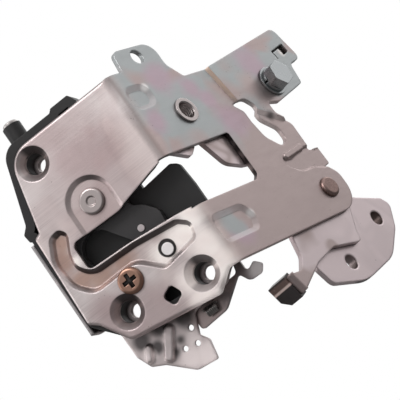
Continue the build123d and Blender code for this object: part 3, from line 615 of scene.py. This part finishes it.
def plate_material(steel):
    """Zinc plated sheet: rolled streaks on the face, lilac and green tints on the side."""
    material, tree, shader = new_material("latch plate zinc", ZINC_METALLIC, 0.36)
    place = own_place(tree)
    x, _, z = axes(tree, place)
    on_side = spread(tree, x, FOLD_X - 0.002, FOLD_X + 0.004)
    streaks = use(tree, "streaks")
    face, pale = face_colour(tree, steel, place, streaks["Mask"])
    side, soft = side_colour(tree, steel, z)
    soft = larger(tree, soft, pale)
    paler(tree, shader, soft)
    plated(tree, shader, mix_colour(tree, on_side, face, side), (0.80, 0.73, 0.71), 0.1,
           less(tree, 0.85, times(tree, soft, 0.8)), 520.0, (0.16, 0.12, 0.11), 0.5)
    spread_roughness(tree, shader, streaks["Mask"], 0.31, 0.43)
    rolled = times(tree, streaks["Height"], less(tree, 1.0, on_side))
    grain = use(tree, "grain", Size=1500.0)["Height"]
    bump(tree, shader, math_node(tree, "ADD", rolled, grain), 0.25, 0.00012, 0.0009)
    return material


def sheet_material(name, main, second, third, shift, roughness=0.36, soft=0.0006,
                   dark=(), deep=(), light=(), rolled=(), tone=(0.86, 0.76, 0.75)):
    """Zinc plated lever or bracket sheet with soft tints and a fine even grain."""
    material, tree, shader = new_material(name, ZINC_METALLIC, roughness)
    toned = use(tree, "tint", First=main, Second=second, Third=third, Size=32.0,
                Shift=shift)["Color"]
    # Painted shade on the walls of holes
    if dark:
        toned = patches(tree, toned, (0.10, 0.065, 0.055), dark, 0.95,
                        between(tree, OUT, 0.9, 0.5))
    # Painted shadow on the rear plate below the face plate and in its valleys
    if deep:
        toned = patches(tree, toned, (0.07, 0.065, 0.067), deep, 0.85,
                        facing(tree, INWARD, 0.9, 0.5))
    # Painted highlights, paler and less metallic
    if light:
        pale = region(tree, light)
        toned = mix_colour(tree, pale, toned, tone)
        paler(tree, shader, pale)
    # Painted shade on the flange of the rear plate
    toned = patches(tree, toned, (0.36, 0.34, 0.345), rolled, 0.95)
    plated(tree, shader, toned, (0.76, 0.70, 0.69), 0.2, 0.8, 430.0, (0.14, 0.115, 0.11), 0.4)
    grain = use(tree, "grain", Size=1400.0, Low=0.0, High=1.0)
    spread_roughness(tree, shader, grain["Value"], roughness - 0.05, roughness + 0.07)
    bump(tree, shader, grain["Height"], 0.16, 0.0001, soft)
    return material


def turned_material(name, main, rough=0.3, shade_amount=0.8, left=0.0, freckles=0.0):
    """Upset or turned steel, such as a rivet, bush, screw or washer."""
    material, tree, shader = new_material(name, 1.0, rough)
    grain = use(tree, "grain", Size=700.0, Low=0.72, High=1.0)
    toned = mix_colour(tree, grain["Value"], altered(main, 0.55), main)
    # Painted shade on faces turned to the left
    if left:
        shaded_left = facing(tree, (-0.777, -0.268, 0.569), 0.45, 0.75)
        toned = over(tree, toned, altered(main, 0.2), shaded_left, left)
    if freckles:
        dots = ramp(tree, use(tree, "grain", Size=2600.0)["Height"], [(0.45, 0.0), (0.62, 1.0)])
        toned = over(tree, toned, altered(main, 0.4), dots, freckles)
    worn = use(tree, "wear", Color=toned, Worn=altered(main, 1.35, 0.12),
               Grime=altered(main, 0.06), Wear=0.4, Dirt=shade_amount)
    tree.links.new(worn["Color"], shader.inputs["Base Color"])
    spread_roughness(tree, shader, grain["Value"], rough + 0.1, rough)
    bump(tree, shader, grain["Height"], 0.15, 0.00012)
    return material


def moulded_material(name, main, rough, height=0.25, coat=0.0):
    """Black moulded or coated surface with fine grain, grey edges that are partly wear and partly
    a painted highlight, and painted shade in corners.
    """
    material, tree, shader = new_material(
        name, 0.0, rough, Coat_Weight=coat, Coat_Roughness=0.15, Specular_IOR_Level=0.3)
    grain = use(tree, "grain", Size=1100.0, Low=0.0, High=1.0)
    toned = mix_colour(tree, grain["Value"], main, altered(main, 1.35, 0.001))
    worn = use(tree, "wear", Color=toned, Worn=altered(main, 2.4, 0.02),
               Grime=altered(main, 0.4), Wear=0.4, Dirt=0.4)
    tree.links.new(worn["Color"], shader.inputs["Base Color"])
    spread_roughness(tree, shader, grain["Value"], rough - 0.06, rough + 0.08)
    bump(tree, shader, grain["Height"], height, 0.0001)
    return material


def cap_material(main):
    """Glossy rubber cap with a painted lit facet and a painted highlight along its upper edge,
    and painted shade at its top.
    """
    material = moulded_material("cap rubber", main, 0.2, 0.1, 0.6)
    tree, shader, shown = reopened(material)
    # A painted lit facet, a painted highlight along the ridge, and painted shade along the top
    rise = compared(tree, own_place(tree), "DOT_PRODUCT", UP * 0.96 - SIDE * 0.27)
    strip = spread(tree, rise, -0.1141, -0.1136)
    ridge = times(tree, strip, spread(tree, rise, -0.1124, -0.1131))
    top = spread(tree, rise, -0.1104, -0.1098)
    specks = use(tree, "specks", Size=700.0)["Mask"]
    for there, mask, amount in (
            ((0.115, 0.075, 0.065), strip, 0.9), ((0.62, 0.49, 0.45), ridge, 0.85),
            (PAINTED_SHADE, top, 0.8), ((0.35, 0.3, 0.3), specks, 0.6)):
        shown = over(tree, shown, there, mask, amount)
    tree.links.new(shown, shader.inputs["Base Color"])
    return material


def dress(name, material):
    """Gives a node of the frame its material."""
    target = frame["nodes"][name]
    if len(target.material_slots) == 0:
        target.data.materials.append(material)
    for place in target.material_slots:
        place.material = material


# Small pieces

def put(name, shape, material, body="lock_frame"):
    """Turns a mesh into a smooth piece that rides on a body."""
    bmesh.ops.recalc_face_normals(shape, faces=shape.faces)
    mesh = bpy.data.meshes.new(name)
    shape.to_mesh(mesh)
    shape.free()
    for face in mesh.polygons:
        face.use_smooth = True
    mesh.materials.append(material)
    piece = bpy.data.objects.new(name, mesh)
    bpy.context.collection.objects.link(piece)
    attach(piece, body)
    return piece


def skin(shape, rows, closed=False):
    """Faces between neighbouring rows of points, all the way round if closed."""
    count = len(rows[0])
    for one, two in zip(rows, rows[1:]):
        for k in range(count if closed else count - 1):
            after = (k + 1) % count
            shape.faces.new((one[k], one[after], two[after], two[k]))


def square_to(along):
    """Two directions square to an axis and to each other."""
    first = along.orthogonal().normalized()
    return first, along.cross(first)


def thread(name, start, along, radius, height, length, material):
    """A thread ridge wound about an axis. A negative height stands inwards."""
    first, second = square_to(along)
    steps, fade, rooted = 40, 12, 0.00003
    count = int(steps * length / THREAD_PITCH)
    foot = radius - (rooted if height > 0 else -rooted)
    shape = bmesh.new()
    rows = []
    for step in range(count + 1):
        turn = tau * step / steps
        out = first * cos(turn) + second * sin(turn)
        crest = radius + height * min(1.0, step / fade, (count - step) / fade)
        here = start + along * (THREAD_PITCH * step / steps)
        rows.append([
            shape.verts.new(here + out * foot),
            shape.verts.new(here + along * (0.38 * THREAD_PITCH) + out * crest),
            shape.verts.new(here + along * (0.54 * THREAD_PITCH) + out * crest),
            shape.verts.new(here + along * (0.92 * THREAD_PITCH) + out * foot)])
    skin(shape, rows)
    return put(name, shape, material)


def tube(shape, points, radius, sides):
    """A round rod along a line of points, with closed ends."""
    rings = []
    side = None
    for place, point in enumerate(points):
        ahead = points[min(place + 1, len(points) - 1)] - points[max(place - 1, 0)]
        ahead.normalize()
        side = (side - ahead * side.dot(ahead) if side else ahead.orthogonal()).normalized()
        other = ahead.cross(side)
        rings.append([
            shape.verts.new(point + (side * cos(tau * k / sides)
                                     + other * sin(tau * k / sides)) * radius)
            for k in range(sides)])
    skin(shape, rings, closed=True)
    shape.faces.new(rings[0][::-1])
    shape.faces.new(rings[-1])


def turned(shape, origin, along, profile, sides, start, sweep):
    """A surface turned part of the way about an axis from (radius, along) points."""
    first, second = square_to(along)
    rows = []
    for k in range(sides + 1):
        turn = start + sweep * k / sides
        out = first * cos(turn) + second * sin(turn)
        rows.append([shape.verts.new(origin + out * r + along * a) for r, a in profile])
    skin(shape, rows)


# Operators

class LOCK_OT_plate(bpy.types.Operator):
    """Finish the folded latch plate and what is riveted to it"""
    bl_idname = "door_lock.plate"
    bl_label = "Latch plate"

    def execute(self, context):
        steel = context.scene.lock_steel
        dress("latch_plate", plate_material(steel))
        dress("stop_tongue", sheet_material(
            "stop tongue zinc", steel.brown, steel.levers, steel.teal, 4.0))
        dress("threaded_bush", turned_material("bush zinc", (0.56, 0.5, 0.49), 0.24))
        self.shade_sheet()
        return {"FINISHED"}

    def shade_sheet(self):
        """A dark strip behind the window of the arm, with rounded corners, that stands for the
        shade in the window.
        """
        sides, squareness, inset, behind = 32, 1.35, -0.0002, 0.0008
        middle = SIDE_FACE + SIDE * WINDOW_ALONG + UP * WINDOW_UP - OUT * behind
        along = SIDE * cos(WINDOW_TILT) + UP * sin(WINDOW_TILT)
        across = UP * cos(WINDOW_TILT) - SIDE * sin(WINDOW_TILT)
        shape = bmesh.new()
        rows = []
        for depth, grow in ((0.0, inset), (0.0, 0.0), (-0.0004, 0.0), (-0.0006, inset)):
            row = []
            for k in range(sides):
                turn = tau * (k + 0.5) / sides
                x = max(-1.0, min(1.0, squareness * cos(turn))) * (WINDOW_HALF_LENGTH + grow)
                y = max(-1.0, min(1.0, squareness * sin(turn))) * (WINDOW_HALF_HEIGHT + grow)
                row.append(shape.verts.new(middle + along * x + across * y + OUT * depth))
            rows.append(row)
        skin(shape, rows, closed=True)
        shape.faces.new(rows[0])
        shape.faces.new(rows[-1][::-1])
        # A dark sheet that stands for the shade in the window
        dark = moulded_material("window shade", (0.035, 0.03, 0.03), 0.5)
        put("window_shade_sheet", shape, dark)


class LOCK_OT_mechanism(bpy.types.Operator):
    """Finish the housing, the claw, the pawl and their pins"""
    bl_idname = "door_lock.mechanism"
    bl_label = "Claw and housing"

    def execute(self, context):
        steel = context.scene.lock_steel
        trim = context.scene.lock_trim
        dress("housing", moulded_material("housing plastic", trim.plastic, 0.42))
        dress("claw", moulded_material("claw coating", trim.coating, 0.40, 0.15))
        dress("claw_peg", moulded_material("peg plastic", trim.peg, 0.35, 0.05))
        dress("inlet_ferrule", turned_material("ferrule metal", (0.62, 0.58, 0.57)))
        dress("claw_pin", turned_material("pin zinc", (0.56, 0.49, 0.48)))
        dress("pawl_pin", self.flat_rivet())
        dress("pawl", sheet_material("pawl zinc", steel.levers, steel.brown, steel.warm, 2.0))
        wire = turned_material("spring wire", (0.35, 0.33, 0.32), 0.28)
        for name in ("claw_spring", "pawl_spring", "release_spring"):
            dress(name, wire)
        dress("face_screw", turned_material("screw plating", trim.screw, 0.32, 0.9))
        self.cross()
        return {"FINISHED"}

    def flat_rivet(self):
        """Pale flat rivet with painted shade in a ring round its head."""
        material = turned_material("flat rivet zinc", (0.92, 0.87, 0.87), 0.36)
        tree, shader, plain = reopened(material)
        low, high = (Vector(corner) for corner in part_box("pawl_pin"))
        middle = (-(low.x + high.x) / 2, 0.0, -(low.z + high.z) / 2)
        flat = node(tree, "ShaderNodeVectorMath",
                    {0: own_place(tree), 1: (1.0, 0.0, 1.0), 2: middle},
                    operation="MULTIPLY_ADD")
        away = node(tree, "ShaderNodeVectorMath", {0: flat.outputs["Vector"]},
                    operation="LENGTH")
        # Painted shade in a ring round the head
        rim_shade = spread(tree, away.outputs["Value"], 0.0026, 0.0029)
        shown = mix_colour(tree, rim_shade, plain, (0.03, 0.026, 0.026))
        tree.links.new(shown, shader.inputs["Base Color"])
        shader.inputs["Metallic"].default_value = 0.55
        return material

    def cross(self):
        """Painted shade in the cross recess of the screw: a dark insert with sloping sides."""
        low, high = (Vector(corner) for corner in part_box("face_screw"))
        middle = (low + high) / 2
        reach, half, corner = 0.0031, 0.00082, 0.0003
        outline = []
        for k in range(4):
            ahead = Vector((cos(pi / 2 * k), 0.0, sin(pi / 2 * k)))
            aside = Vector((-sin(pi / 2 * k), 0.0, cos(pi / 2 * k)))
            outline += [ahead * along + aside * across for along, across in (
                (half, -half), (reach - corner, -half), (reach, corner - half),
                (reach, half - corner), (reach - corner, half))]
        shape = bmesh.new()
        rows = []
        for depth, shrink in ((0.00042, 1.0), (0.0005, 0.98), (0.0009, 0.8)):
            here = Vector((middle.x, low.y + depth, middle.z))
            rows.append([shape.verts.new(here + point * shrink) for point in outline])
        skin(shape, rows, closed=True)
        shape.faces.new(rows[0])
        shape.faces.new(rows[-1][::-1])
        # A dark insert that stands for the shade in the cross recess
        grease = moulded_material("recess shade", (0.02, 0.016, 0.015), 0.45)
        put("recess_shade", shape, grease)


class LOCK_OT_levers(bpy.types.Operator):
    """Finish the rear plate and the levers"""
    bl_idname = "door_lock.levers"
    bl_label = "Levers"

    def execute(self, context):
        steel = context.scene.lock_steel
        trim = context.scene.lock_trim
        pale = altered(steel.levers, 0.93)
        # The walls of the sector lever's holes get painted shade
        holes = [(Vector(m["pos_m"]), 0.0095) for m in frame["record"]["mounts"]
                 if "sector_rod" in m["name"]]
        dress("back_plate", sheet_material(
            "rear plate zinc", steel.back, altered(steel.back, 0.9), steel.brown, 7.0,
            soft=0.0014, deep=BRACKET_SHADOWS, light=RIB_HIGHLIGHTS, rolled=FLANGE_SHADE_PATCHES))
        # The hook of the release lever gets a painted highlight
        dress("release_lever", sheet_material(
            "release lever zinc", steel.dull, altered(steel.dull, 0.8), steel.brown, 5.0,
            0.3, light=HOOK_PATCHES, tone=(0.52, 0.48, 0.48)))
        dress("sector_lever", sheet_material(
            "sector lever zinc", steel.levers, pale, steel.levers, 9.0, soft=0.0012, dark=holes))
        dress("bell_lever", sheet_material(
            "bell lever zinc", steel.levers, pale, steel.brown, 3.0, soft=0.001))
        dress("link_lever", sheet_material(
            "link lever zinc", steel.levers, steel.brown, pale, 6.0))
        dress("lever_rivet", turned_material("browned rivet", trim.rivet, 0.38, freckles=0.7))
        dress("tab_cap", cap_material(trim.cap))
        return {"FINISHED"}


class LOCK_OT_bolt(bpy.types.Operator):
    """Finish the bolt, its washers and its nut, and cut its thread"""
    bl_idname = "door_lock.bolt"
    bl_label = "Bolt"

    def execute(self, context):
        # The bolt's faces turned to the left get painted shade
        bright = turned_material("bolt zinc", context.scene.lock_trim.bolt, 0.26, left=0.85)
        for name in ("hex_bolt", "flat_washer", "spring_washer", "weld_nut"):
            dress(name, bright)
        low, high = (Vector(corner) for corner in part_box("weld_nut"))
        middle = (low + high) / 2
        rear, front, ridge, length = 0.00305, 0.0030, 0.00022, 0.0019
        thread("bolt_thread", middle - OUT * rear, -OUT, BOLT_RADIUS, ridge, length,
               bright)
        count, offset = 3, 0.06
        bead = [(0.0062, -0.0001), (0.0072, 0.0001), (0.0071, 0.0006), (0.0060, 0.0014)]
        beads = bmesh.new()
        for k in range(count):
            turned(beads, middle + OUT * front, -OUT, bead, sides=14,
                   start=tau * (k / count + offset), sweep=tau / 9)
        put("nut_welds", beads, bright)
        return {"FINISHED"}


class LOCK_OT_threads(bpy.types.Operator):
    """Cut the threads of the fixing collars and of the bush"""
    bl_idname = "door_lock.threads"
    bl_label = "Threads"

    def execute(self, context):
        ridge = -0.0003
        collar_start, collar_length = 0.0019, 0.0032
        bush_start, bush_length = 0.0004, 0.0055
        zinc = turned_material("thread zinc", (0.40, 0.36, 0.35))
        mounts = {m["name"]: Vector(m["pos_m"]) for m in frame["record"]["mounts"]}
        for name in ("upper_fixing", "lower_left_fixing", "lower_right_fixing"):
            thread(name.replace("fixing", "thread"), mounts[name] - INWARD * collar_start,
                   INWARD, FIXING_RADIUS, ridge, collar_length, zinc)
        # The bush's axis, where it meets the outer face of the side plate
        middle = mounts["side_bush"]
        middle = middle - OUT * (middle.dot(OUT) - SIDE_FACE.dot(OUT))
        thread("bush_thread", middle + OUT * bush_start, -OUT, BUSH_RADIUS, ridge,
               bush_length, zinc)
        return {"FINISHED"}


class LOCK_OT_spring(bpy.types.Operator):
    """Wind the release spring from round wire with an eye at each end"""
    bl_idname = "door_lock.spring"
    bl_label = "Release spring"

    def execute(self, context):
        values = context.scene.lock_steel
        low, high = (Vector(corner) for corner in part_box("release_spring"))
        middle = (low + high) / 2
        wire = values.wire / 2
        radius = (high.z - low.z) / 2 - wire
        length = high.x - low.x - 2 * wire
        coils, steps, eye = 6, 24, 0.12
        points = []
        for step in range(coils * steps + 1):
            part = step / (coils * steps)
            turn = tau * coils * part
            points.append(Vector((low.x + wire + length * (eye + (1 - 2 * eye) * part),
                                  middle.y + radius * sin(turn),
                                  middle.z + radius * cos(turn))))
        eyes = []
        for tip, way in ((points[0], -1), (points[-1], 1)):
            eyes.append([tip + Vector((way * eye * length * sin(bend), 0.0,
                                       -radius * (1 - cos(bend)) * 0.5))
                         for bend in (0.4, 0.8, 1.2, 1.57)])
        points = eyes[0][::-1] + points + eyes[1]
        shape = bmesh.new()
        tube(shape, points, wire, 10)
        spring = put("wound_spring", shape, bpy.data.materials["spring wire"],
                     "release_body")
        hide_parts("release_spring")
        return {"FINISHED"}


def aim(target, place, towards):
    """Places an object so that its -Z looks at a point."""
    back = (place - towards).normalized()
    right = UP.cross(back).normalized()
    above = back.cross(right)
    target.matrix_world = Matrix((
        (right.x, above.x, back.x, place.x),
        (right.y, above.y, back.y, place.y),
        (right.z, above.z, back.z, place.z),
        (0, 0, 0, 1)))


class LOCK_OT_stage(bpy.types.Operator):
    """Floor, lamps, ambient light and camera"""
    bl_idname = "door_lock.stage"
    bl_label = "Stage"

    def execute(self, context):
        values = context.scene.lock_stage
        self.floor(values)
        self.lamps(values)
        self.ambient(context.scene, values)
        self.camera(context.scene, values)
        return {"FINISHED"}

    def floor(self, values):
        """A wide pale floor just below the lock, dim where metal mirrors it."""
        half_size, gap = 3.0, 0.0005
        mesh = bpy.data.meshes.new("floor")
        shape = bmesh.new()
        bmesh.ops.create_grid(shape, x_segments=8, y_segments=8, size=half_size)
        shape.to_mesh(mesh)
        shape.free()
        floor = bpy.data.objects.new("floor", mesh)
        floor.location = (0.05, 0.05, CAD_BOX[0][2] - gap)
        bpy.context.collection.objects.link(floor)
        material, tree, shader = new_material("pale floor", 0.0, 0.8)
        shader.inputs["Base Color"].default_value = (*values.floor, 1.0)
        path = node(tree, "ShaderNodeLightPath").outputs
        mirrored = larger(tree, path["Is Glossy Ray"], path["Is Transmission Ray"])
        dim = node(tree, "ShaderNodeEmission", {"Color": (1, 1, 1), "Strength": values.mirror})
        below = node(tree, "ShaderNodeNewGeometry").outputs["Backfacing"]
        both = mix_shader(tree, below, mix_shader(tree, mirrored, shader, dim),
                          node(tree, "ShaderNodeBsdfTransparent"))
        tree.links.new(both.outputs[0], tree.nodes["Material Output"].inputs["Surface"])
        floor.data.materials.append(material)

    def lamps(self, values):
        """A key lamp above the camera, a fill lamp on the left and one behind."""
        middle = Vector((0.06, 0.03, -0.03))
        for name, power, size, place in (
            ("key lamp", values.key_power, 0.6, Vector((-0.15, -0.75, 0.85))),
            ("fill lamp", values.fill_power, 0.7, Vector((-1.0, -0.35, 0.15))),
            ("rear lamp", values.fill_power, 0.7, Vector((0.6, 1.1, 0.6))),
        ):
            data = bpy.data.lights.new(name, "AREA")
            data.energy = power
            data.size = size
            lamp = bpy.data.objects.new(name, data)
            bpy.context.collection.objects.link(lamp)
            aim(lamp, place, middle)

    def ambient(self, scene, values):
        """Even light from all round, and a graded room for metal to mirror."""
        world = bpy.data.worlds.new("studio")
        scene.world = world
        world.use_nodes = True
        tree = world.node_tree
        even = tree.nodes["Background"]
        even.inputs["Color"].default_value = (1, 1, 1, 1)
        even.inputs["Strength"].default_value = values.sky
        direction = own_place(tree, "Generated")
        x, _, z = axes(tree, direction)
        height = ramp(tree, spread(tree, z, -0.35, 0.75), [(0.0, 0.12), (0.45, 0.66), (1.0, 0.8)])
        right = ramp(tree, spread(tree, x, -0.4, 0.85), [(0.0, 0.66), (1.0, 1.0)])
        aside = compared(tree, direction, "DOT_PRODUCT", (0.77, -0.63, 0.08))
        screen = ramp(tree, spread(tree, aside, 0.72, 0.97), [(0.0, 1.0), (1.0, 0.42)])
        grey = times(tree, times(tree, height, right), screen)
        room = node(tree, "ShaderNodeBackground", {"Color": grey, "Strength": 1.3})
        white = node(tree, "ShaderNodeBackground", {"Color": (1, 1, 1), "Strength": 1.0})
        path = node(tree, "ShaderNodeLightPath").outputs
        direct = larger(tree, path["Is Camera Ray"], path["Is Transmission Ray"])
        seen = mix_shader(tree, direct, mix_shader(tree, path["Is Glossy Ray"], even, room),
                          white)
        tree.links.new(seen.outputs[0], tree.nodes["World Output"].inputs["Surface"])
        scene.view_settings.view_transform = "Standard"

    def camera(self, scene, values):
        """The camera, placed as the photograph was taken."""
        data = bpy.data.cameras.new("camera")
        data.sensor_width = 36.0
        data.lens = values.lens
        data.clip_start = 0.01
        data.clip_end = 20.0
        camera = bpy.data.objects.new("camera", data)
        bpy.context.collection.objects.link(camera)
        camera.matrix_world = Matrix((
            (0.77717, 0.59761, 0.19714, 0.17721),
            (0.26800, -0.03088, -0.96292, -0.62760),
            (-0.56937, 0.80119, -0.18416, -0.17565),
            (0, 0, 0, 1)))
        scene.camera = camera


class LOCK_PT_panel(bpy.types.Panel):
    """Lists the steps and values of the door lock"""
    bl_idname = "LOCK_PT_panel"
    bl_label = "Sliding Door Lock"
    bl_space_type = "VIEW_3D"
    bl_region_type = "UI"
    bl_category = "Door Lock"

    def draw(self, context):
        column = self.layout.column()
        for step in STEPS:
            column.operator(step.bl_idname)
        scene = context.scene
        for values in (scene.lock_steel, scene.lock_trim, scene.lock_stage):
            for name in values.__annotations__:
                column.prop(values, name)


STEPS = (LOCK_OT_plate, LOCK_OT_mechanism, LOCK_OT_levers, LOCK_OT_bolt, LOCK_OT_threads,
         LOCK_OT_spring, LOCK_OT_stage)
VALUES = (LockSteelValues, LockTrimValues, LockStageValues)


def register():
    for item in VALUES + STEPS + (LOCK_PT_panel,):
        bpy.utils.register_class(item)
    bpy.types.Scene.lock_steel = PointerProperty(type=LockSteelValues)
    bpy.types.Scene.lock_trim = PointerProperty(type=LockTrimValues)
    bpy.types.Scene.lock_stage = PointerProperty(type=LockStageValues)


def unregister():
    del bpy.types.Scene.lock_stage
    del bpy.types.Scene.lock_trim
    del bpy.types.Scene.lock_steel
    for item in reversed(VALUES + STEPS + (LOCK_PT_panel,)):
        bpy.utils.unregister_class(item)


def main():
    register()
    bpy.ops.door_lock.plate()
    bpy.ops.door_lock.mechanism()
    bpy.ops.door_lock.levers()
    bpy.ops.door_lock.bolt()
    bpy.ops.door_lock.threads()
    bpy.ops.door_lock.spring()
    bpy.ops.door_lock.stage()
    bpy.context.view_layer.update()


if __name__ == "__main__":
    main()
